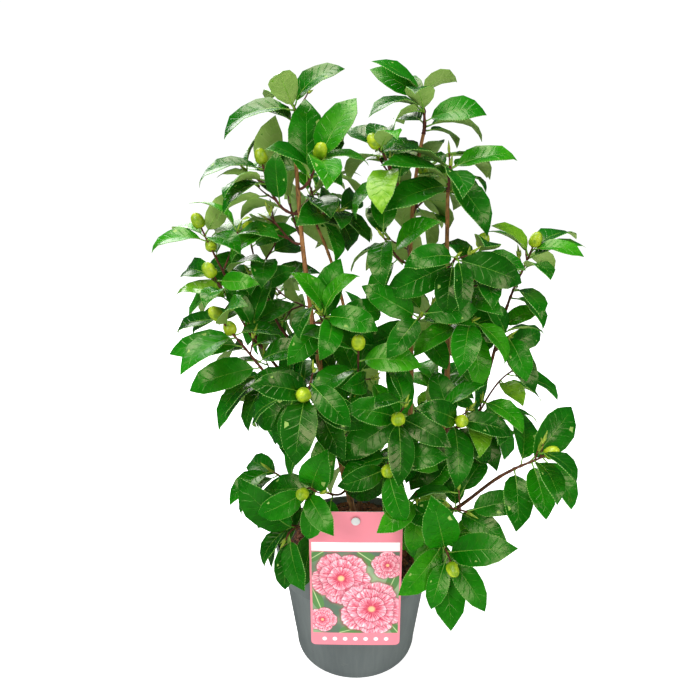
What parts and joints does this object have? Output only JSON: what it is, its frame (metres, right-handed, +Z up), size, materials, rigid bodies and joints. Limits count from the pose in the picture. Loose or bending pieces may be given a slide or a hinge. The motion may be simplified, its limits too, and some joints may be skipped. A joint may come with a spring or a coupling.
{
  "type": "potted camellia shrub",
  "caption": "Young evergreen camellia shrub in bud, with several upright stems, growing in its round nursery pot with a label card on the front.",
  "frame": {"origin": "middle of the pot's flat underside", "axes": "+Z up along the plant, -Y to the front where the label hangs, +X to the right seen from the front"},
  "size_m": [0.4563, 0.3082, 0.6628],
  "materials": {
    "pot_plastic": "satin moulded",
    "potting_mix": "loose bark and peat",
    "label_print": "printed satin card",
    "clear_plastic": "translucent moulded",
    "bark": "fissured bark",
    "young_bark": "smooth young bark",
    "leaf": "glossy leaf",
    "leaf_back": "matte leaf underside",
    "bud": "waxy bud scales"
  },
  "bodies": {
    "root": {"pot": "pot_plastic", "soil": "potting_mix", "label_card": "label_print", "label_stake": "clear_plastic", "stem_left": "bark", "stem_middle": "bark", "stem_right": "bark", "stem_back": "bark", "bough_upper_right": "young_bark", "bough_far_right": "young_bark", "bough_left_low": "young_bark", "bough_left_high": "young_bark", "bough_left_rear": "young_bark", "foliage_left_crown": "leaf", "foliage_left_crown_out": "leaf", "foliage_left_crown_in": "leaf", "foliage_left_crown_back": "leaf", "foliage_left_side": "leaf", "foliage_middle_crown": "leaf", "foliage_middle_crown_in": "leaf", "foliage_middle_crown_back": "leaf", "foliage_middle_side": "leaf", "foliage_right_crown": "leaf", "foliage_right_crown_out": "leaf", "foliage_right_front": "leaf", "foliage_back_crown": "leaf", "foliage_upper_right_top": "leaf", "foliage_upper_right_mid": "leaf", "foliage_far_right_end": "leaf", "foliage_far_right_mid": "leaf", "foliage_left_low_tip": "leaf", "foliage_left_high_tip": "leaf", "foliage_left_high_front": "leaf", "foliage_left_rear_tip": "leaf", "foliage_centre_front": "leaf", "foliage_front_left": "leaf", "foliage_front_middle": "leaf", "foliage_front_right": "leaf", "foliage_front_low": "leaf", "foliage_low_left": "leaf", "foliage_low_left_hang": "leaf", "foliage_low_right_hang": "leaf", "foliage_low_right_front": "leaf", "foliage_right_low_out": "leaf", "foliage_right_mid_out": "leaf", "foliage_right_inner": "leaf", "foliage_left_mid_out": "leaf", "foliage_low_left_out": "leaf", "foliage_middle_front": "leaf", "foliage_inner_left": "leaf", "foliage_inner_back": "leaf", "foliage_back_left_low": "leaf", "foliage_back_right_low": "leaf", "foliage_back_middle": "leaf", "foliage_back_right_mid": "leaf", "foliage_back_left_mid": "leaf", "foliage_back_low": "leaf", "foliage_back_high": "leaf"}
  },
  "joints": []
}
